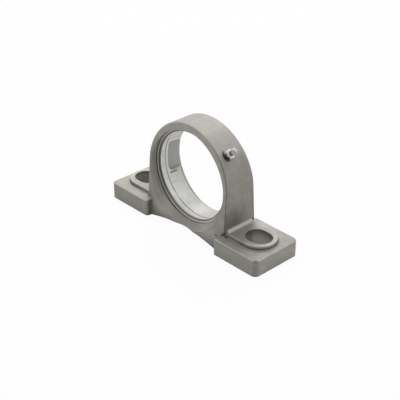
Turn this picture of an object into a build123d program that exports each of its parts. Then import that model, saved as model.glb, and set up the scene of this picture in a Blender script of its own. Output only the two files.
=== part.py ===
from build123d import *
from math import cos, radians, sin, sqrt, tan
import os

os.makedirs("parts", exist_ok=True)

# Pillow block housing for a bearing insert with a spherical outer ring.
# Millimetres. Z is up, X runs from foot to foot and Y along the bore.
# The origin lies on the base, under the middle of the bore. The front is at -Y.

# Overall sizes
bolt_spacing = 146.0
bolt_inset = 22.0
base_width = 53.0
centre_height = 54.0

# Ring head and the web under it: both faces lean back with the mould's draft
ring_wall = 7.5
head_width_at_axis = 33.8
face_draft_angle = 3.8
head_edge_radius = 1.6
web_thickness = 5.0
arch_inset = 2.5
junction_fillet = 2.4

# Feet and their raised bosses
foot_height = 15.8
foot_overlap = 6.5
foot_corner_radius = 5.0
foot_inner_corner_radius = 3.0
foot_edge_radius = 1.8
boss_height = 4.0
boss_wall = 6.2
boss_edge_radius = 1.0
slot_width = 20.6
slot_length = 25.0
slot_edge_chamfer = 0.5

# Bore
seat_diameter = 85.0
seat_width = 22.0
seat_chamfer = 1.4
counterbore_clearance = 1.2
rim_position = 14.7
rim_cone_angle = 50.0
groove_offset = 4.0
groove_width = 1.0
groove_depth = 0.4
loading_slot_height = 30.0
loading_slot_clearance = 0.4
loading_slot_front = 1.0
loading_slot_corner_radius = 5.0

# Grease nipple, on a ray of the ring in the plane of the groove
nipple_angle = 40.0
spot_face_depth = 0.2
spot_face_diameter = 10.5
thread_diameter = 6.35
thread_length = 5.4
thread_clearance = 0.05
hexagon_across_flats = 7.94
hexagon_height = 4.8
hexagon_chamfer = 0.5
neck_diameter = 4.6
neck_length = 3.8
head_diameter = 6.7
head_land = 0.9
head_undercut = 1.0
head_crown = 2.2
head_crown_bulge = 0.4
head_top_diameter = 3.2
ball_diameter = 2.2
ball_clearance = 0.05
ball_protrusion = 0.45
ball_travel = 0.8
spring_wire_diameter = 0.28
spring_turns = 6
spring_clearance = 0.1
spring_ledge_thickness = 0.9
spring_ledge_hole_diameter = 1.3

# Sizes that follow from the ones above
seat_radius = seat_diameter / 2
ring_radius = seat_radius + ring_wall
counterbore_radius = seat_radius + counterbore_clearance
draft = tan(radians(face_draft_angle))
head_half_width_at_top = head_width_at_axis / 2 - draft * ring_radius
head_half_width_at_base = head_width_at_axis / 2 + draft * centre_height
head_top = centre_height + ring_radius
seat_half_width = seat_width / 2
seat_edge_radius = sqrt(seat_radius**2 - seat_half_width**2)
shoulder_position = seat_half_width + seat_chamfer
rim_end_radius = counterbore_radius + (head_half_width_at_base - rim_position) * tan(radians(rim_cone_angle))
cutter_reach = base_width
base_length = bolt_spacing + 2 * bolt_inset
foot_inner_reach = ring_radius - foot_overlap
arch_height = centre_height - counterbore_radius - web_thickness
arch_span = 2 * (foot_inner_reach - arch_inset)
foot_length = base_length / 2 - foot_inner_reach
foot_middle = base_length / 2 - foot_length / 2
boss_top = foot_height + boss_height
boss_radius = slot_width / 2 + boss_wall
bore_axis = Axis((0, 0, centre_height), (0, 1, 0))
bore_plane = Plane(origin=(0, 0, centre_height), x_dir=(0, 1, 0), z_dir=(1, 0, 0))
groove_floor_radius = sqrt(seat_radius**2 - groove_offset**2) + groove_depth

# The nipple stands on its spot face, on a ray of the ring
nipple_cos = cos(radians(nipple_angle))
nipple_sin = sin(radians(nipple_angle))
spot_face_radius = sqrt(ring_radius**2 - (spot_face_diameter / 2) ** 2) - spot_face_depth
spot_face_point = (
    spot_face_radius * nipple_cos,
    -groove_offset,
    centre_height + spot_face_radius * nipple_sin,
)
nipple_axis = Axis(spot_face_point, (nipple_cos, 0, nipple_sin))
nipple_plane = Plane(origin=spot_face_point, x_dir=(0, 1, 0), z_dir=(nipple_cos, 0, nipple_sin))
nipple_section = Plane(origin=spot_face_point, x_dir=(0, 1, 0), z_dir=(nipple_sin, 0, -nipple_cos))
hexagon_corner_radius = hexagon_across_flats / sqrt(3)
neck_top = hexagon_height + neck_length
head_shoulder = neck_top + head_undercut + head_land
nipple_top = head_shoulder + head_crown
ball_centre = nipple_top + ball_protrusion - ball_diameter / 2
ball_cavity_radius = ball_diameter / 2 + ball_clearance
spring_bottom = spring_ledge_thickness - thread_length
spring_coil_radius = ball_cavity_radius - spring_clearance - spring_wire_diameter / 2
ball_contact_height = sqrt((ball_diameter / 2 + spring_wire_diameter / 2) ** 2 - spring_coil_radius**2)
spring_top = ball_centre - ball_contact_height
spring_length = spring_top - spring_bottom - spring_wire_diameter / 2

# The ring head and the web under it, with vertical flanks and leaning faces
with BuildPart() as head:
    with BuildSketch(Plane.XZ):
        with Locations((0, centre_height)):
            Circle(ring_radius)
        with Locations((0, centre_height / 2)):
            Rectangle(2 * ring_radius, centre_height)
    extrude(amount=base_width / 2, both=True)
    with BuildSketch(Plane.YZ):
        with BuildLine():
            Polyline(
                (-head_half_width_at_base, 0),
                (head_half_width_at_base, 0),
                (head_half_width_at_top, head_top),
                (-head_half_width_at_top, head_top),
                close=True,
            )
        make_face()
    extrude(amount=base_length / 2, both=True, mode=Mode.INTERSECT)
    base_edges = head.faces().sort_by(Axis.Z)[0].edges()
    front_edges = head.faces().sort_by(Axis.Y)[0].edges()
    back_edges = head.faces().sort_by(Axis.Y)[-1].edges()
    rounded = [edge for edge in front_edges + back_edges if edge not in base_edges]
    fillet(rounded, radius=head_edge_radius)

# The housing: one casting, machined in the bore, on the base and at the grease hole
with BuildPart() as housing:
    # Feet, with rounded corners and softened top edges
    with BuildSketch(Plane.XY) as feet_outline:
        with Locations((foot_middle, 0), (-foot_middle, 0)):
            Rectangle(foot_length, base_width)
        corners = feet_outline.vertices()
        fillet(corners.filter_by(lambda v: abs(v.X) > foot_middle), radius=foot_corner_radius)
        corners = feet_outline.vertices()
        fillet(
            corners.filter_by(lambda v: abs(v.X) < foot_inner_reach + 0.01),
            radius=foot_inner_corner_radius,
        )
    extrude(amount=foot_height)
    fillet(housing.faces().filter_by(Axis.Z).group_by(Axis.Z)[-1].edges(), radius=foot_edge_radius)

    # The bosses run straight from the round bolt ends into the flanks of the web
    with BuildSketch(Plane.XY.offset(foot_height)):
        SlotOverall(bolt_spacing + 2 * boss_radius, 2 * boss_radius)
    extrude(amount=boss_height)
    fillet(housing.faces().filter_by(Axis.Z).sort_by(Axis.Z)[-1].edges(), radius=boss_edge_radius)
    add(head.part)

    # One cast radius runs round every inner corner between feet, bosses, flanks and faces
    foot_lines = housing.edges().filter_by_position(Axis.Z, foot_height - 0.001, foot_height + 0.001)
    boss_feet = foot_lines.filter_by(
        lambda edge: abs(edge.center().Y) <= boss_radius + 0.001
        and ring_radius < abs(edge.center().X) < bolt_spacing / 2 + boss_radius + 0.001
    )
    fillet(housing.edges(Select.NEW) + boss_feet, radius=junction_fillet)

    # Clearance under the web
    with BuildSketch(Plane.XZ):
        with BuildLine():
            ThreePointArc((-arch_span / 2, 0), (0, arch_height), (arch_span / 2, 0))
            Line((arch_span / 2, 0), (-arch_span / 2, 0))
        make_face()
    extrude(amount=cutter_reach, both=True, mode=Mode.SUBTRACT)

    # Slotted bolt holes
    with BuildSketch(Plane.XY):
        with Locations((bolt_spacing / 2, 0), (-bolt_spacing / 2, 0)):
            SlotOverall(slot_length, slot_width)
    extrude(amount=boss_top, mode=Mode.SUBTRACT)
    boss_tops = housing.faces().filter_by(Axis.Z).group_by(Axis.Z)[-1]
    slot_rims = [edge for face in boss_tops for edge in face.inner_wires().edges()]
    chamfer(slot_rims, length=slot_edge_chamfer)

    # The turned bore: a spherical seat between two counterbores that flare towards the faces
    with BuildSketch(bore_plane):
        with BuildLine():
            Polyline(
                (-seat_half_width, seat_edge_radius),
                (-shoulder_position, seat_edge_radius + seat_chamfer),
                (-shoulder_position, counterbore_radius),
                (-rim_position, counterbore_radius),
                (-head_half_width_at_base, rim_end_radius),
                (-head_half_width_at_base, 0),
                (head_half_width_at_base, 0),
                (head_half_width_at_base, rim_end_radius),
                (rim_position, counterbore_radius),
                (shoulder_position, counterbore_radius),
                (shoulder_position, seat_edge_radius + seat_chamfer),
                (seat_half_width, seat_edge_radius),
            )
            ThreePointArc(
                (-seat_half_width, seat_edge_radius),
                (0, seat_radius),
                (seat_half_width, seat_edge_radius),
            )
        make_face()
    revolve(axis=bore_axis, mode=Mode.SUBTRACT)

    # Grease groove round the seat
    with BuildSketch(bore_plane):
        with Locations((-groove_offset, 0)):
            Rectangle(groove_width, groove_floor_radius, align=(Align.CENTER, Align.MIN))
    revolve(axis=bore_axis, mode=Mode.SUBTRACT)

    # Loading slots, milled from the back past the middle of the seat
    with BuildSketch(bore_plane) as slot_outline:
        with Locations((-loading_slot_front, 0)):
            Rectangle(cutter_reach, loading_slot_height, align=(Align.MIN, Align.CENTER))
        fillet(slot_outline.vertices().group_by(Axis.Y)[0], radius=loading_slot_corner_radius)
    extrude(amount=seat_radius + loading_slot_clearance, both=True, mode=Mode.SUBTRACT)

    # Spot face and tapped hole of the grease nipple, through to the groove
    with BuildSketch(nipple_plane):
        Circle(spot_face_diameter / 2)
    extrude(amount=ring_radius, mode=Mode.SUBTRACT)
    with BuildSketch(nipple_plane):
        Circle(thread_diameter / 2 + thread_clearance)
    extrude(amount=seat_edge_radius - spot_face_radius, mode=Mode.SUBTRACT)
housing.part.label = "housing"

# Grease nipple body: shank, hexagon, neck and head on one axis, bored through
with BuildPart() as grease_nipple_body:
    with BuildSketch(nipple_plane):
        RegularPolygon(hexagon_across_flats / 2, 6, major_radius=False)
    extrude(amount=hexagon_height)
    with BuildSketch(nipple_section):
        Polygon(
            (0, 0),
            (hexagon_corner_radius, 0),
            (hexagon_corner_radius, hexagon_height - hexagon_chamfer),
            (hexagon_across_flats / 2 - hexagon_chamfer / 2, hexagon_height),
            (0, hexagon_height),
            align=None,
        )
    revolve(axis=nipple_axis, mode=Mode.INTERSECT)
    with BuildSketch(nipple_section):
        with BuildLine():
            Polyline(
                (0, -thread_length),
                (thread_diameter / 2, -thread_length),
                (thread_diameter / 2, 0),
                (neck_diameter / 2, hexagon_height),
                (neck_diameter / 2, neck_top),
                (head_diameter / 2, neck_top + head_undercut),
                (head_diameter / 2, head_shoulder),
            )
            SagittaArc(
                (head_diameter / 2, head_shoulder),
                (head_top_diameter / 2, nipple_top),
                head_crown_bulge,
            )
            Polyline((head_top_diameter / 2, nipple_top), (0, nipple_top), (0, -thread_length))
        make_face()
    revolve(axis=nipple_axis)
    # The bore narrows to a ledge for the spring and domes over the ball at the mouth
    with BuildSketch(nipple_section):
        with BuildLine():
            Polyline(
                (0, ball_centre + ball_cavity_radius),
                (0, -thread_length),
                (spring_ledge_hole_diameter / 2, -thread_length),
                (spring_ledge_hole_diameter / 2, spring_bottom),
                (ball_cavity_radius, spring_bottom),
                (ball_cavity_radius, ball_centre),
            )
            RadiusArc(
                (ball_cavity_radius, ball_centre),
                (0, ball_centre + ball_cavity_radius),
                -ball_cavity_radius,
            )
        make_face()
    revolve(axis=nipple_axis, mode=Mode.SUBTRACT)
grease_nipple_body.part.label = "grease_nipple_body"

# Check ball, held up against the mouth of the nipple
with BuildPart(nipple_plane.offset(ball_centre)) as grease_nipple_ball:
    Sphere(ball_diameter / 2)
grease_nipple_ball.part.label = "grease_nipple_ball"

# Wire spring between the ledge and the ball, its fine wire drawn with six sides
with BuildPart() as grease_nipple_spring:
    with BuildLine() as coil:
        Helix(
            spring_length / spring_turns,
            spring_length,
            spring_coil_radius,
            center=nipple_plane.offset(spring_bottom + spring_wire_diameter / 2).origin,
            direction=nipple_plane.z_dir,
        )
    with BuildSketch(Plane(origin=coil.line @ 0, z_dir=coil.line % 0)):
        RegularPolygon(spring_wire_diameter / 2, 6)
    sweep(path=coil.line, is_frenet=True)
grease_nipple_spring.part.label = "grease_nipple_spring"

export_step(housing.part, "parts/housing.step")
export_step(grease_nipple_body.part, "parts/grease_nipple_body.step")
export_step(grease_nipple_ball.part, "parts/grease_nipple_ball.step")
export_step(grease_nipple_spring.part, "parts/grease_nipple_spring.step")
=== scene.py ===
from math import cos, radians, sin

import bpy
from mathutils import Matrix, Vector


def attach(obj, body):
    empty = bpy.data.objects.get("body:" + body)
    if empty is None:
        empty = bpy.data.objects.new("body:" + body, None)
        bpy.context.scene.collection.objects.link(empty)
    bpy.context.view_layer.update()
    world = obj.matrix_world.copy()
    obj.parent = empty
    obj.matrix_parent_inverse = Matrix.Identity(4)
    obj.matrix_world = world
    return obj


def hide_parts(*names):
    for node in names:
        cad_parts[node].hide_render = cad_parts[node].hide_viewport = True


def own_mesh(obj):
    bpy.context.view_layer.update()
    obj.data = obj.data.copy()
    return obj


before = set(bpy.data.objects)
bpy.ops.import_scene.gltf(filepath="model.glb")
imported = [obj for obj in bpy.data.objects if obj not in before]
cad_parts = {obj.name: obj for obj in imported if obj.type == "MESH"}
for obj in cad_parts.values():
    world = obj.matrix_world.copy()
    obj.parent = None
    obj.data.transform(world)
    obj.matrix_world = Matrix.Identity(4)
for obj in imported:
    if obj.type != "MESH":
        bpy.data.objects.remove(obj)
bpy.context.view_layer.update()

# Sizes of the housing in metres. X runs from foot to foot, the bore along Y, and the front is at -Y
HALF_LENGTH = 0.095
FOOT_SIDE = 0.0265
FOOT_INNER_END = 0.0435
FOOT_TOP = 0.0158
BOSS_TOP = 0.0198
BOSS_RADIUS = 0.0165
BOLT_PLACE = 0.073
BOLT_RADIUS = 0.0103
BOLT_HALF_STRAIGHT = 0.0022
BOLT_INNER_END = BOLT_PLACE - BOLT_HALF_STRAIGHT - BOLT_RADIUS
CENTRE_HEIGHT = 0.054
RING_RADIUS = 0.050
FACE_AT_AXIS = 0.0169
FACE_DRAFT = 0.0664

# The bore: distances along Y are from its middle
SEAT_RADIUS = 0.0425
SEAT_HALF_WIDTH = 0.011
GROOVE_PLACE = 0.0040
CHAMFER_RADIUS = 0.04245
SHOULDER = 0.0124
COUNTERBORE_RADIUS = 0.0437
RIM = 0.0147
CONE_SLOPE = 1.192
CRESCENT_RADIUS = 0.0472
LOADING_SLOT_WALL = 0.0429
LOADING_SLOT_HALF_HEIGHT = 0.0150
LOADING_SLOT_FRONT = -0.0010
LOADING_SLOT_REACH = 0.0460
LOADING_SLOT_END_RADII = (0.0399, 0.0452)

# The grease nipple: heights are along its axis from its foot
NIPPLE_FOOT = (0.03812, -0.004, 0.08599)
NIPPLE_AXIS = Vector((cos(radians(40)), 0, sin(radians(40))))
HEXAGON_TOP = 0.0048
HEAD_START = 0.0096
HEAD_TOP = 0.0127

# Below the ring's top, the front face lies further forward than this
FACE_PAST = 0.0140

# The notch between web and foot begins about this far forward
NOTCH_PAST = 0.0200

# The seat's parts beside the loading slots lie further out than this, left and right
SLOT_PAST = 0.0370

# How far a mask reaches past the surface that it names, and how soft its edge is
MARGIN = 0.0001
SOFT = 0.00006

# Middle and reach of each spot of painted shade in the corners where flank, front face and foot meet, and at
# the flank's rear end
SHADED_CORNERS = (
    ((0.0400, -0.0195, 0.0146), 0.0016),
    ((0.0416, -0.0195, 0.0148), 0.0015),
    ((0.0494, -0.0186, 0.0190), 0.0030),
    ((0.0476, -0.0190, 0.0180), 0.0020),
    ((0.0512, -0.0174, 0.0167), 0.0020),
    ((0.0503, 0.0160, 0.0210), 0.0022),
)

# The rough-edged painted shade round these corners, on both sides: middle and reach outwards, forwards and
# upwards
CORNER_SHADE_ACROSS = (0.0490, 0.0055)
CORNER_SHADE_DEPTH = (0.0178, 0.0050)
CORNER_SHADE_HEIGHT = (0.0176, 0.0044)

# Middle and reach of the place where the groove is left without its painted shade, standing for a reflection
# across it
GROOVE_GAP = ((-0.0270, -0.0045, 0.0212), 0.0060)

# Colours of the cast skin
CAST_DARK = (0.36, 0.348, 0.313, 1)
CAST_LIGHT = (0.45, 0.434, 0.390, 1)
CAST_COOL = (0.385, 0.392, 0.358, 1)
CAST_WARM = (0.415, 0.368, 0.322, 1)
CAST_GREY = (0.27, 0.260, 0.232, 1)
CAST_GRAIN = (0.29, 0.279, 0.252, 1)
CAST_PIT = (0.16, 0.153, 0.138, 1)
# Colours of painted light: on the ring's shoulder, on lighter places of faces, feet and bosses, a painted
# highlight on fillets and edges, and light low in the right bolt slot
SHOULDER_LIGHT = (0.520, 0.505, 0.470, 1)
PAINTED_LIGHT = (0.72, 0.70, 0.655, 1)
FILLET_HIGHLIGHT = (0.80, 0.785, 0.74, 1)
HOLE_LIGHT = (0.80, 0.79, 0.75, 1)

# Colours of painted shade, from lightest to darkest; the first also darkens streaks on the flanks
SHADE_AND_STAIN = (0.10, 0.095, 0.080, 1)
BOSS_FOOT_SHADE = (0.06, 0.057, 0.048, 1)
CORNER_SHADE = (0.05, 0.047, 0.04, 1)
NIPPLE_SHADOW = (0.04, 0.038, 0.032, 1)
HEXAGON_SHADE = (0.02, 0.02, 0.017, 1)

# Colours of the turned and milled places in the bore, most of them painted light and shade: a painted
# highlight on the slot edge, lit and shaded tones, and painted shade in the recesses
TURNED_DARK = (0.70, 0.695, 0.675, 1)
TURNED_LIGHT = (0.80, 0.795, 0.775, 1)
TURNED_DULL_AND_SHADED = (0.42, 0.415, 0.40, 1)
SLOT_EDGE_HIGHLIGHT = (0.95, 0.945, 0.92, 1)
SLOT_DARK_LINE = (0.06, 0.057, 0.05, 1)
SLOT_WALL = (0.44, 0.435, 0.416, 1)
SLOT_END = (0.62, 0.615, 0.59, 1)
LIP_MIDDLE = (0.30, 0.293, 0.273, 1)
LIP_SIDE = (0.13, 0.126, 0.113, 1)
LIP_UPPER_LEFT = (0.40, 0.390, 0.362, 1)
CHAMFER_MIDDLE = (0.20, 0.194, 0.178, 1)
CHAMFER_SIDE = (0.09, 0.086, 0.077, 1)
CHAMFER_END = (0.12, 0.115, 0.10, 1)
COUNTERBORE_WALL = (0.24, 0.228, 0.205, 1)
COUNTERBORE_CORNER = (0.09, 0.086, 0.075, 1)
LEDGE_MIDDLE = (1.0, 0.97, 0.90, 1)
LEDGE_SIDE = (0.60, 0.58, 0.54, 1)
CONE_SHADE = (0.18, 0.165, 0.138, 1)
RIM_SHADE = (0.15, 0.135, 0.11, 1)

# Colours of the grease nipple, its ball and its spring, with painted shadow for the nipple's neck
NIPPLE_DARK = (0.44, 0.437, 0.425, 1)
NIPPLE_LIGHT = (0.54, 0.536, 0.52, 1)
BALL_DARK = (0.50, 0.50, 0.51, 1)
BALL_LIGHT = (0.60, 0.60, 0.61, 1)
SPRING_DARK = (0.5, 0.5, 0.5, 1)
SPRING_LIGHT = (0.6, 0.6, 0.6, 1)
HEXAGON = (0.80, 0.79, 0.765, 1)
NECK_SHADOW = (0.10, 0.10, 0.092, 1)
NIPPLE_TOP = (0.40, 0.39, 0.41, 1)

# Camera, found from the photograph's edges: its place lies right, up and back in half lengths
CAMERA_AZIMUTH = 46.7866
CAMERA_ELEVATION = 30.0074
CAMERA_LENS = 85.487
CAMERA_PLACE = (-0.0025, 0.2282, 9.1244)

# Light and surroundings
FLOOR_REACH = 4
FLOOR_GREY = (0.75, 0.75, 0.75, 1)
FLOOR_WHITE = 0.96
ROOM_LIGHT = 0.449
LAMP_TARGET = (0, 0, 0.03)


class Nodes:
    """Short names for building a node tree. A mask is a value from 0 to 1."""

    def __init__(self, tree):
        self.tree = tree
        tree.nodes.clear()

    def new(self, kind):
        return self.tree.nodes.new("ShaderNode" + kind)

    def put(self, socket, value):
        if isinstance(value, bpy.types.NodeSocket):
            self.tree.links.new(value, socket)
        else:
            socket.default_value = value

    def math(self, operation, a, b=0.0):
        node = self.new("Math")
        node.operation = operation
        self.put(node.inputs[0], a)
        self.put(node.inputs[1], b)
        return node.outputs[0]

    def plus(self, a, b):
        return self.math("ADD", a, b)

    def minus(self, a, b):
        return self.math("SUBTRACT", a, b)

    def times(self, a, b):
        return self.math("MULTIPLY", a, b)

    def larger(self, a, b):
        return self.math("MAXIMUM", a, b)

    def size(self, a):
        return self.math("ABSOLUTE", a)

    def hypotenuse(self, a, b):
        return self.math("SQRT", self.plus(self.times(a, a), self.times(b, b)))

    def vector(self, operation, a, b):
        node = self.new("VectorMath")
        node.operation = operation
        self.put(node.inputs[0], a)
        self.put(node.inputs[1], b)
        return node.outputs

    def measure(self, point, start, direction):
        """How far the point lies from the start along the direction."""
        offset = self.vector("SUBTRACT", point, start)["Vector"]
        return self.vector("DOT_PRODUCT", offset, direction)["Value"]

    def mix(self, factor, a, b):
        """Colour a where the factor is 0 and colour b where it is 1."""
        node = self.new("Mix")
        node.data_type = "RGBA"
        self.put(node.inputs[0], factor)
        self.put(node.inputs[6], a)
        self.put(node.inputs[7], b)
        return node.outputs[2]

    def blend(self, factor, a, b):
        """Number a where the factor is 0 and number b where it is 1."""
        node = self.new("Mix")
        self.put(node.inputs[0], factor)
        self.put(node.inputs[2], a)
        self.put(node.inputs[3], b)
        return node.outputs[0]

    def tint(self, mask, amount, colour, target):
        """The colour, moved towards the target by the amount where the mask is 1."""
        return self.mix(self.times(mask, amount), colour, target)

    def step(self, value, low, high):
        """0 below low and 1 above high, smooth between."""
        node = self.new("MapRange")
        node.interpolation_type = "SMOOTHSTEP"
        self.put(node.inputs[0], value)
        self.put(node.inputs[1], low)
        self.put(node.inputs[2], high)
        return node.outputs[0]

    def above(self, value, limit, soft=SOFT):
        return self.step(value, self.minus(limit, soft), self.plus(limit, soft))

    def outside(self, mask):
        return self.minus(1.0, mask)

    def below(self, value, limit, soft=SOFT):
        return self.outside(self.above(value, limit, soft))

    def ridge(self, value, middle, reach):
        """1 at the middle, falling to 0 at the reach on both sides."""
        return self.below(self.size(self.minus(value, middle)), reach * 0.5, reach * 0.5)

    def spot(self, point, centre, reach):
        """1 at the centre point, falling to 0 at the reach."""
        gap = self.vector("DISTANCE", point, centre)["Value"]
        return self.below(gap, reach * 0.5, reach * 0.5)

    def both(self, first, *others):
        """1 where all the masks are."""
        for mask in others:
            first = self.times(first, mask)
        return first

    def less(self, first, *others):
        """The first mask without the others."""
        for mask in others:
            first = self.times(first, self.outside(mask))
        return first

    def noise(self, point, scale, detail=3.0, rough=0.5):
        node = self.new("TexNoise")
        self.put(node.inputs["Vector"], point)
        self.put(node.inputs["Scale"], scale)
        self.put(node.inputs["Detail"], detail)
        self.put(node.inputs["Roughness"], rough)
        return node.outputs["Fac"]

    def bump(self, height, strength, distance):
        node = self.new("Bump")
        self.put(node.inputs["Strength"], strength)
        self.put(node.inputs["Distance"], distance)
        self.put(node.inputs["Height"], height)
        return node.outputs[0]

    def surface(self, **values):
        """The material's shader, with its sockets by name."""
        shader = self.new("BsdfPrincipled")
        for key, value in values.items():
            self.put(shader.inputs[key.replace("_", " ")], value)
        self.put(self.new("OutputMaterial").inputs[0], shader.outputs[0])


class Place:
    """Where a point of the casting lies."""

    def __init__(self, n):
        self.point = n.new("TexCoord").outputs["Object"]
        split = n.new("SeparateXYZ")
        n.put(split.inputs[0], self.point)
        self.x, self.y, self.z = split.outputs
        self.left = n.times(self.x, -1.0)
        self.depth = n.times(self.y, -1.0)
        self.across = n.size(self.x)
        self.along = n.size(self.y)

        # From the axis of the bore
        self.height = n.minus(self.z, CENTRE_HEIGHT)
        self.radius = n.hypotenuse(self.x, self.height)

        # From the outer edge of the ring and web, and from their front face
        self.outer = n.blend(n.above(self.z, CENTRE_HEIGHT, 0.001), self.across, self.radius)
        self.inset = n.minus(RING_RADIUS, self.outer)
        face = n.plus(n.times(self.height, -FACE_DRAFT), FACE_AT_AXIS)
        self.behind = n.minus(face, self.depth)


class Bore:
    """Masks of the machined places in the bore."""

    def __init__(self, n, p):
        half_height = n.size(p.height)
        self.front = n.below(p.y, 0.0)
        self.groove = n.both(n.below(p.radius, SEAT_RADIUS + 0.0005), n.ridge(p.depth, GROOVE_PLACE, 0.0012))
        on_sphere = n.larger(n.below(p.radius, SEAT_RADIUS + 0.00012), self.groove)
        self.seat = n.both(on_sphere, n.below(p.along, SEAT_HALF_WIDTH + MARGIN))

        cone_radius = n.plus(n.times(n.minus(p.along, RIM), CONE_SLOPE), COUNTERBORE_RADIUS)
        widest = n.larger(n.plus(cone_radius, 0.00015), COUNTERBORE_RADIUS + MARGIN)
        self.whole = n.below(p.radius, widest)
        self.cone = n.both(self.whole, n.above(p.along, RIM))
        self.wall = n.both(
            self.whole,
            n.above(p.radius, COUNTERBORE_RADIUS - 0.00005, 0.00003),
            n.above(p.along, SHOULDER, 0.00003),
            n.below(p.along, RIM))
        self.corner = n.both(self.wall, n.below(p.along, SHOULDER + 0.0014, 0.0004))
        self.chamfer = n.both(n.less(self.whole, self.seat), n.below(p.along, SHOULDER - MARGIN, 0.00004))
        self.ledge = n.less(self.whole, self.seat, self.chamfer, self.wall, self.cone)

        # The loading slots: their flat side walls and their ends above and below
        behind_front = n.above(p.y, LOADING_SLOT_FRONT - MARGIN, 0.0001)
        end_from, end_to = LOADING_SLOT_END_RADII
        self.slot = n.both(
            n.above(p.across, LOADING_SLOT_WALL - 0.00007),
            n.below(half_height, LOADING_SLOT_HALF_HEIGHT + MARGIN),
            behind_front,
            n.below(p.radius, LOADING_SLOT_REACH))
        self.slot_end = n.both(
            n.ridge(half_height, LOADING_SLOT_HALF_HEIGHT, 0.0003),
            n.below(p.across, LOADING_SLOT_WALL),
            behind_front,
            n.below(p.radius, end_to),
            n.above(p.radius, end_from))
        self.turned = n.larger(self.seat, self.slot)

        # Masks for painted light and shade: the sides of the bore are painted darker than its top and
        # bottom, and its upper left paler
        self.side = n.step(n.plus(p.across, n.times(p.height, 0.35)), 0.006, 0.036)
        self.upper_left = n.both(n.above(p.height, 0.0200, 0.0080), n.below(p.x, 0.0050, 0.0100))


def new_material(name):
    material = bpy.data.materials.new(name)
    material.use_nodes = True
    return material, Nodes(material.node_tree)


def cast_skin(n, p, mottle, grain):
    """Blasted cast steel: light and dark, cool and warm patches, grain and small pits."""
    cool = n.step(n.noise(p.point, 45.0, rough=0.55), 0.4, 0.7)
    grey = n.step(n.noise(p.point, 420.0, rough=0.6), 0.40, 0.68)
    warm = n.step(n.noise(p.point, 85.0, rough=0.6), 0.48, 0.66)
    pits = n.step(n.noise(p.point, 1500.0, detail=2.0), 0.66, 0.74)
    colour = n.mix(n.step(mottle, 0.35, 0.65), CAST_DARK, CAST_LIGHT)
    colour = n.tint(cool, 0.40, colour, CAST_COOL)
    colour = n.tint(grey, 0.14, colour, CAST_GREY)
    colour = n.tint(warm, 0.50, colour, CAST_WARM)
    colour = n.tint(n.step(grain, 0.35, 0.7), 0.35, colour, CAST_GRAIN)
    return n.tint(pits, 0.30, colour, CAST_PIT)


def face_tones(n, p, colour):
    """Painted light and shade on the ring's shoulder and on the front face of ring and web."""
    on_face = n.below(p.behind, 0.0006, 0.0004)
    forward = n.above(p.depth, FACE_PAST, 0.0010)
    shoulder = n.both(
        n.above(p.outer, RING_RADIUS - 0.0010, 0.0006),
        n.above(p.height, 0.0300, 0.0030),
        n.above(p.x, 0.0100, 0.0100))
    left_face = n.both(forward, n.above(p.left, 0.0340, 0.0060), n.below(p.height, 0.0250, 0.0150))
    low_face = n.both(forward, n.ridge(p.height, -0.0400, 0.0180), n.ridge(p.across, 0.0240, 0.0160))
    web_face = n.both(on_face, n.below(p.z, 0.0160, 0.0060), n.below(p.across, 0.0420, 0.0010))

    # Painted highlight on the shoulder, painted light on the upper face, painted shade low on the left face,
    # painted light low on the face and on the web
    colour = n.tint(shoulder, 0.55, colour, SHOULDER_LIGHT)
    colour = n.tint(n.both(on_face, n.above(p.height, 0.0180, 0.0200)), 0.20, colour, PAINTED_LIGHT)
    colour = n.tint(left_face, 0.12, colour, SHADE_AND_STAIN)
    colour = n.tint(n.both(left_face, n.ridge(p.height, 0.0, 0.0200)), 0.12, colour, SHADE_AND_STAIN)
    colour = n.tint(low_face, 0.25, colour, PAINTED_LIGHT)
    return n.tint(web_face, 0.42, colour, PAINTED_LIGHT)


def flank_tones(n, p, colour):
    """Ends of the ring and web: painted shade, darker towards the lower front, dark streaks, and a line of
    painted shade along the front edge.
    """
    standing = n.above(p.z, BOSS_TOP + 0.0002, 0.0006)
    flank = n.both(n.above(p.outer, RING_RADIUS - 0.0003, 0.0002), standing)
    low = n.below(p.z, 0.038, 0.014)
    upright = n.vector("MULTIPLY", p.point, (260, 260, 34))["Vector"]
    streak = n.step(n.noise(upright, 1.0, rough=0.55), 0.52, 0.72)
    front_line = n.both(
        n.ridge(n.minus(p.inset, p.behind), 0.0, 0.0010),
        n.above(p.x, 0.030, 0.010),
        n.below(p.behind, 0.0018, 0.0004),
        n.below(p.inset, 0.0018, 0.0004),
        standing)

    # Painted shade low on the flank and towards its front; the streaks are stains; painted shade along the
    # front edge
    colour = n.tint(n.both(flank, n.below(p.height, 0.0200, 0.0140)), 0.10, colour, SHADE_AND_STAIN)
    colour = n.tint(n.both(flank, n.below(p.y, 0.003, 0.010), low), 0.62, colour, SHADE_AND_STAIN)
    colour = n.tint(n.both(flank, n.below(p.height, 0.0120, 0.0120), streak), 0.30, colour, SHADE_AND_STAIN)
    return n.tint(front_line, 0.75, colour, SHADE_AND_STAIN)


def foot_top_tones(n, p, colour):
    """Tops of the feet: painted shadow of the ring on the right one's front half, painted light at its back
    and on the left one.
    """
    right = n.above(p.x, 0.0)
    top = n.both(
        n.above(p.z, FOOT_TOP - 0.0008, 0.0006),
        n.below(p.z, BOSS_TOP + 0.0006, 0.0003),
        n.above(p.across, RING_RADIUS + 0.0020, 0.0010))
    right_back = n.both(top, right, n.above(p.y, 0.0100, 0.0050), n.below(p.across, 0.0700, 0.0100))
    # Painted shadow, then painted light
    colour = n.tint(n.both(top, right, n.above(p.depth, 0.0120, 0.0040)), 0.10, colour, SHADE_AND_STAIN)
    colour = n.tint(right_back, 0.25, colour, PAINTED_LIGHT)
    return n.tint(n.both(top, n.below(p.x, 0.0)), 0.18, colour, PAINTED_LIGHT)


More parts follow.
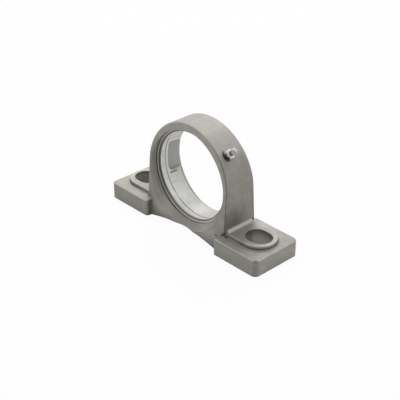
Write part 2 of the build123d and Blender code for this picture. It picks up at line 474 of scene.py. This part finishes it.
def boss_tones(n, p, colour):
    """D-shaped bosses: painted shade round their foot, a painted highlight along the edge and painted light
    on the outer half.
    """
    past = n.larger(n.minus(p.across, BOLT_PLACE), 0.0)
    gap = n.minus(n.hypotenuse(past, p.y), BOSS_RADIUS)
    outward = n.above(p.across, RING_RADIUS + 0.0005, 0.0005)
    thickness = n.blend(n.above(p.across, BOLT_PLACE - 0.009, 0.006), 0.6, 1.0)
    outer_half = n.above(p.across, BOLT_PLACE + 0.0050, 0.0100)
    shade_mask = n.both(n.ridge(p.z, FOOT_TOP + 0.0015, 0.0018), n.ridge(gap, 0.0003, 0.0010), outward, thickness)
    edge = n.both(n.ridge(p.z, BOSS_TOP - MARGIN, 0.0008), n.ridge(gap, -0.0007, 0.0009), outward)
    outer_top = n.both(n.above(p.z, BOSS_TOP - MARGIN, 0.0001), outward, outer_half)
    # Painted shade, painted highlight, painted light
    colour = n.tint(shade_mask, 0.9, colour, BOSS_FOOT_SHADE)
    colour = n.tint(edge, 0.45, colour, PAINTED_LIGHT)
    return n.tint(outer_top, 0.35, colour, PAINTED_LIGHT)


def bolt_slot_tones(n, p, colour):
    """Bolt slots: painted shade just under their top edge and at their inner end, painted light low down in
    the right one.
    """
    past = n.larger(n.minus(n.size(n.minus(p.across, BOLT_PLACE)), BOLT_HALF_STRAIGHT), 0.0)
    hole = n.below(n.hypotenuse(past, p.y), BOLT_RADIUS + 0.0002, 0.0001)
    pale = n.both(hole, n.above(p.x, 0.0), n.below(p.z, 0.0130, 0.0035))
    inner_end = n.both(hole, n.below(p.across, BOLT_INNER_END + 0.0010, 0.0010))
    under_edge = n.both(hole, n.above(p.z, BOSS_TOP - 0.0033, 0.0028))
    # Painted light low in the right slot, painted shade at the inner ends and under the top edges
    colour = n.tint(pale, 0.6, colour, HOLE_LIGHT)
    colour = n.tint(inner_end, 0.6, colour, SHADE_AND_STAIN)
    return n.tint(under_edge, 0.75, colour, SHADE_AND_STAIN)


def foot_end_tones(n, p, colour):
    """Painted shade on the rounded front corners of the feet, and on their inner ends in the notch beside
    the web.
    """
    corner = n.both(
        n.above(p.across, HALF_LENGTH - 0.0035, 0.0016),
        n.above(p.depth, FOOT_SIDE - 0.0035, 0.0016),
        n.below(p.z, FOOT_TOP - 0.0002, 0.0006))
    notch = n.both(
        n.below(p.across, FOOT_INNER_END + 0.0005, 0.0006),
        n.above(p.depth, NOTCH_PAST, 0.0008),
        n.below(p.z, FOOT_TOP + 0.0004, 0.0005))
    # Painted shade
    colour = n.tint(corner, 0.28, colour, SHADE_AND_STAIN)
    colour = n.tint(n.both(corner, n.above(p.z, FOOT_TOP - 0.0022, 0.0010)), 0.35, colour, SHADE_AND_STAIN)
    return n.tint(notch, 0.80, colour, SHADE_AND_STAIN)


def nipple_foot_shadow(n, p, colour):
    """Painted shadow on the casting round the grease nipple, on its front side."""
    gap = n.vector("DISTANCE", p.point, NIPPLE_FOOT)["Value"]
    forward = n.measure(p.point, NIPPLE_FOOT, (0, -0.92, -0.22))
    ring = n.both(n.below(gap, 0.0057, 0.0008), n.above(forward, 0.00124, 0.0006))
    # Painted shadow
    return n.tint(ring, 0.9, colour, NIPPLE_SHADOW)


def paint_corner_shade(n, p, colour):
    """Painted shade, with rough edges, in the corners where flank, front face and foot meet."""
    around = n.both(n.ridge(p.across, *CORNER_SHADE_ACROSS), n.ridge(p.depth, *CORNER_SHADE_DEPTH), n.ridge(p.z, *CORNER_SHADE_HEIGHT))
    rough = n.step(n.noise(p.point, 620.0, detail=2.0, rough=0.6), 0.46, 0.54)
    # Painted shade in the corners
    colour = n.tint(n.both(around, rough), 1.0, colour, CORNER_SHADE)
    for centre, reach in SHADED_CORNERS:
        colour = n.tint(n.spot(p.point, centre, reach), 1.0, colour, CORNER_SHADE)
    return colour


def edge_tones(n, p, bore, colour):
    """Painted highlights on the fillets between flank and boss and on the top edges of the feet, and painted
    shade in sharp corners.
    """
    fillet = n.both(
        n.ridge(p.z, BOSS_TOP + 0.0011, 0.0026),
        n.ridge(p.across, RING_RADIUS + 0.0012, 0.0030),
        n.below(p.along, 0.0150, 0.0008))
    outward = n.larger(p.along, n.minus(p.across, HALF_LENGTH - FOOT_SIDE))
    foot_edge = n.both(n.ridge(p.z, FOOT_TOP - 0.0005, 0.0008), n.above(outward, FOOT_SIDE - 0.0012, 0.0003))
    hollow = n.new("AmbientOcclusion")
    hollow.samples = 8
    hollow.only_local = True
    hollow.inputs["Distance"].default_value = 0.0030
    sharp = n.outside(n.step(hollow.outputs["AO"], 0.45, 0.85))
    # Painted highlights, then painted shade where ambient occlusion finds a sharp corner
    colour = n.tint(fillet, 0.9, colour, FILLET_HIGHLIGHT)
    colour = n.tint(foot_edge, 0.60, colour, PAINTED_LIGHT)
    return n.tint(n.less(sharp, bore.whole, fillet), 0.55, colour, SHADE_AND_STAIN)


def seat_colour(n, p, bore, mottle):
    """The turned seat: a painted highlight on the edge and a dark line at the loading slots, painted shade
    in the groove and on the bottom, random dull patches, and the lip.
    """
    by_slot = n.above(p.across, SLOT_PAST, 0.001)
    slot_highlight = n.both(
        bore.seat,
        by_slot,
        n.below(n.size(p.height), LOADING_SLOT_HALF_HEIGHT + 0.0010, 0.0003),
        n.above(p.y, LOADING_SLOT_FRONT - 0.0009, 0.0002),
        n.above(p.height, -0.0140, 0.0010))
    dark_line = n.both(
        bore.seat,
        n.ridge(p.height, -0.0162, 0.0011),
        n.above(p.y, -0.0008, 0.0005),
        n.below(p.y, 0.0070, 0.0025),
        by_slot)
    bottom = n.both(n.below(p.height, -0.0300, 0.0060), n.above(p.x, -0.0200, 0.0060))
    in_groove = n.both(bore.groove, n.above(p.radius, SEAT_RADIUS - 0.00002, 0.0001))
    wiped = n.step(n.noise(p.point, 210.0, rough=0.6), 0.45, 0.70)
    highlight_strength = n.blend(n.above(p.height, 0.0, 0.005), 0.5, 0.8)

    colour = n.mix(mottle, TURNED_DARK, TURNED_LIGHT)
    # Painted highlight on the slot edge, a dark line below the lower slot end, painted shade on the bottom
    colour = n.tint(n.less(slot_highlight, bore.slot), highlight_strength, colour, SLOT_EDGE_HIGHLIGHT)
    colour = n.tint(dark_line, 1.0, colour, SLOT_DARK_LINE)
    colour = n.tint(bottom, 0.60, colour, TURNED_DULL_AND_SHADED)
    # Painted shade in the groove, left out at one place
    colour = n.tint(n.less(in_groove, n.spot(p.point, *GROOVE_GAP)), 0.65, colour, SHADE_AND_STAIN)
    colour = n.tint(wiped, 0.28, colour, TURNED_DULL_AND_SHADED)

    # The outermost strip of the seat is painted like its chamfer, in painted shade, darker at the sides and
    # lighter at the upper left
    lip_start = n.blend(bore.upper_left, n.blend(bore.side, 0.0096, 0.0103), 0.0088)
    lip = n.both(bore.seat, bore.front, n.above(p.along, lip_start, 0.0003))
    lip_colour = n.mix(bore.upper_left, n.mix(bore.side, LIP_MIDDLE, LIP_SIDE), LIP_UPPER_LEFT)
    return n.mix(lip, colour, lip_colour)


def bore_tones(n, p, bore, mottle, colour):
    """From the chamfer outwards, in painted light and shade: ledge, counterbore, cone and rim at the front,
    then slots and seat.
    """
    shade = n.times(bore.side, n.outside(n.times(bore.upper_left, 0.8)))
    chamfer = n.both(bore.chamfer, bore.front)
    chamfer_end = n.both(chamfer, n.above(p.radius, CHAMFER_RADIUS - 0.0003, 0.0002))
    crescent = n.outside(n.step(p.radius, COUNTERBORE_RADIUS, CRESCENT_RADIUS))
    cone = n.both(bore.cone, bore.front)
    rim = n.both(cone, n.ridge(p.behind, 0.0, 0.0006), n.below(p.height, 0.0200, 0.0200))

    # The chamfer in painted shade, darker at the sides and at its outer end
    colour = n.mix(chamfer, colour, n.mix(shade, CHAMFER_MIDDLE, CHAMFER_SIDE))
    colour = n.tint(chamfer_end, 0.7, colour, CHAMFER_END)
    # The counterbore's wall: darker cast skin with painted shade, deepest in its corner
    colour = n.mix(n.both(bore.wall, bore.front), colour, COUNTERBORE_WALL)
    colour = n.mix(n.both(bore.corner, bore.front), colour, COUNTERBORE_CORNER)
    # The ledge in painted light, darker at the sides
    colour = n.mix(n.both(bore.ledge, bore.front), colour, n.mix(bore.side, LEDGE_MIDDLE, LEDGE_SIDE))
    # Painted shade on a crescent of the cone, strongest at the sides, and along the rim
    colour = n.tint(n.both(cone, crescent, n.blend(bore.side, 0.10, 1.0)), 0.6, colour, CONE_SHADE)
    colour = n.tint(rim, 0.45, colour, RIM_SHADE)
    colour = n.mix(bore.slot, colour, SLOT_WALL)
    # Painted light on the ends of the loading slots
    colour = n.mix(bore.slot_end, colour, SLOT_END)
    return n.mix(n.less(bore.seat, bore.slot, bore.slot_end), colour, seat_colour(n, p, bore, mottle))


def casting_material():
    """Blasted stainless casting. Its tones, painted light and shade among them, and the machined places in
    its bore go by where they lie.
    """
    material, n = new_material("cast_stainless")
    p = Place(n)
    bore = Bore(n, p)
    mottle = n.noise(p.point, 150.0, detail=4.0, rough=0.6)
    grain = n.noise(p.point, 900.0, rough=0.65)
    fine = n.noise(p.point, 2600.0, detail=2.0, rough=0.6)

    colour = cast_skin(n, p, mottle, grain)
    colour = face_tones(n, p, colour)
    colour = flank_tones(n, p, colour)
    colour = foot_top_tones(n, p, colour)
    colour = boss_tones(n, p, colour)
    colour = bolt_slot_tones(n, p, colour)
    colour = foot_end_tones(n, p, colour)
    colour = nipple_foot_shadow(n, p, colour)
    colour = paint_corner_shade(n, p, colour)
    colour = edge_tones(n, p, bore, colour)
    colour = bore_tones(n, p, bore, mottle, colour)

    # Fine rings of the turning tool on the machined places, and grain on the cast ones
    lines = n.new("CombineXYZ")
    n.put(lines.inputs[0], p.y)
    n.put(lines.inputs[1], n.times(p.radius, 0.3))
    rings = n.times(n.noise(lines.outputs[0], 4200.0, detail=2.0), 0.12)
    cast = n.plus(n.times(grain, 0.7), n.times(fine, 0.3))
    n.surface(
        Base_Color=colour,
        Metallic=n.blend(bore.turned, 0.08, 0.22),
        Specular_IOR_Level=0.28,
        Roughness=n.blend(bore.turned, n.plus(n.times(grain, 0.12), 0.50), 0.56),
        Normal=n.bump(n.blend(bore.turned, cast, rings), strength=0.35, distance=0.00022),
    )
    return material


def nipple_tones(n, point, rise, colour):
    """From the foot up: bright hexagon with painted shade on its front, painted shadow on the neck, grey top
    of the head.
    """
    front = n.measure(point, NIPPLE_FOOT, (0.19, -0.91, -0.23))
    hexagon = n.below(rise, HEXAGON_TOP + 0.0001, 0.0003)
    shade_mask = n.both(n.above(front, 0.0026, 0.0004), n.below(rise, HEXAGON_TOP - 0.00065, 0.00035))
    neck = n.both(n.above(rise, HEXAGON_TOP + 0.0003, 0.0002), n.below(rise, HEAD_START + 0.0001, 0.0003))
    top = n.below(n.size(n.minus(rise, HEAD_TOP + 0.0001)), 0.0006, 0.0002)
    colour = n.mix(hexagon, colour, HEXAGON)
    # Painted shade, then painted shadow
    colour = n.tint(shade_mask, 0.95, colour, HEXAGON_SHADE)
    colour = n.tint(neck, 0.8, colour, NECK_SHADOW)
    return n.tint(top, 0.45, colour, NIPPLE_TOP)


def steel_material(name, dark, light, roughness, metallic, with_nipple_tones=False):
    """Turned steel with fine rings round the nipple's axis."""
    material, n = new_material(name)
    point = n.new("TexCoord").outputs["Object"]
    rise = n.measure(point, NIPPLE_FOOT, NIPPLE_AXIS)
    cloud = n.noise(point, 500.0)
    colour = n.mix(cloud, dark, light)
    if with_nipple_tones:
        colour = nipple_tones(n, point, rise, colour)
    place = n.new("CombineXYZ")
    n.put(place.inputs[0], rise)
    n.surface(
        Base_Color=colour,
        Metallic=metallic,
        Roughness=n.plus(n.times(cloud, 0.12), roughness),
        Normal=n.bump(n.noise(place.outputs[0], 5200.0, detail=2.0), strength=0.05, distance=0.00003),
    )
    return material


def dress(name, material):
    for slot in bpy.data.objects[name].material_slots:
        slot.material = material


def put_in_scene(name, data):
    piece = bpy.data.objects.new(name, data)
    bpy.context.scene.collection.objects.link(piece)
    return piece


def seen_directly(n):
    """1 for rays from the camera, from reflections and through glass."""
    path = n.new("LightPath").outputs
    mirrored = n.larger(path["Is Glossy Ray"], path["Is Transmission Ray"])
    return n.larger(path["Is Camera Ray"], mirrored)


def floor_material():
    """White to the camera and in reflections, with the object's shadow kept faint."""
    material, n = new_material("floor")
    matt = n.new("BsdfDiffuse")
    matt.inputs[0].default_value = FLOOR_GREY
    mixer = n.new("MixShader")
    n.put(mixer.inputs[0], n.times(seen_directly(n), FLOOR_WHITE))
    n.put(mixer.inputs[1], matt.outputs[0])
    n.put(mixer.inputs[2], n.new("Emission").outputs[0])
    n.put(n.new("OutputMaterial").inputs[0], mixer.outputs[0])
    return material


def lamp(name, place, size, power):
    data = bpy.data.lights.new(name, "AREA")
    data.shape = "DISK"
    data.size = size
    data.energy = power
    aim = (Vector(LAMP_TARGET) - Vector(place)).to_track_quat("-Z", "Y")
    put_in_scene(name, data).matrix_world = Matrix.Translation(place) @ aim.to_matrix().to_4x4()


# The CAD pieces
dress("housing", casting_material())
dress("grease_nipple_body", steel_material(
    "nipple_steel", dark=NIPPLE_DARK, light=NIPPLE_LIGHT, roughness=0.50, metallic=0.30, with_nipple_tones=True))
dress("grease_nipple_ball", steel_material(
    "ball_steel", dark=BALL_DARK, light=BALL_LIGHT, roughness=0.12, metallic=1.0))
dress("grease_nipple_spring", steel_material(
    "spring_steel", dark=SPRING_DARK, light=SPRING_LIGHT, roughness=0.25, metallic=1.0))

# The spring behind the check ball: the CAD coil again, with its own mesh, carried by the casting
coil_mesh = bpy.data.objects["grease_nipple_spring"].data.copy()
coil = put_in_scene("check_ball_spring", coil_mesh)
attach(coil, "casting")
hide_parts("grease_nipple_spring")
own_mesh(coil)

# Camera
azimuth, elevation = radians(CAMERA_AZIMUTH), radians(CAMERA_ELEVATION)
back = Vector((sin(azimuth) * cos(elevation), -cos(azimuth) * cos(elevation), sin(elevation)))
right = Vector((cos(azimuth), sin(azimuth), 0))
turn = Matrix((right, back.cross(right), back)).transposed()
camera = put_in_scene("camera", bpy.data.cameras.new("camera"))
camera.data.sensor_width = 36
camera.data.lens = CAMERA_LENS
camera.matrix_world = Matrix.Translation(turn @ Vector(CAMERA_PLACE) * HALF_LENGTH) @ turn.to_4x4()
bpy.context.scene.camera = camera

# Floor
floor_mesh = bpy.data.meshes.new("floor")
corners = [(-FLOOR_REACH, -FLOOR_REACH, 0), (FLOOR_REACH, -FLOOR_REACH, 0),
           (FLOOR_REACH, FLOOR_REACH, 0), (-FLOOR_REACH, FLOOR_REACH, 0)]
floor_mesh.from_pydata(corners, [], [(0, 1, 2, 3)])
floor_mesh.materials.append(floor_material())
floor = put_in_scene("floor", floor_mesh)

# Light: a soft key from behind on the left, weak fills and a pale room
lamp("key", (-0.628, 0.590, 1.133), size=0.62, power=9.3)
lamp("back_right", (0.573, 0.993, 0.833), size=0.8, power=3.1)
lamp("left", (-0.853, 0.120, 1.133), size=0.8, power=3.1)
world = bpy.data.worlds.new("room")
world.use_nodes = True
room = Nodes(world.node_tree)
plain = room.new("Background")
plain.inputs[0].default_value = (1, 1, 1, 1)
room.put(plain.inputs[1], room.blend(seen_directly(room), ROOM_LIGHT, 1.0))
room.put(room.new("OutputWorld").inputs[0], plain.outputs[0])
bpy.context.scene.world = world
bpy.context.scene.view_settings.view_transform = "Standard"
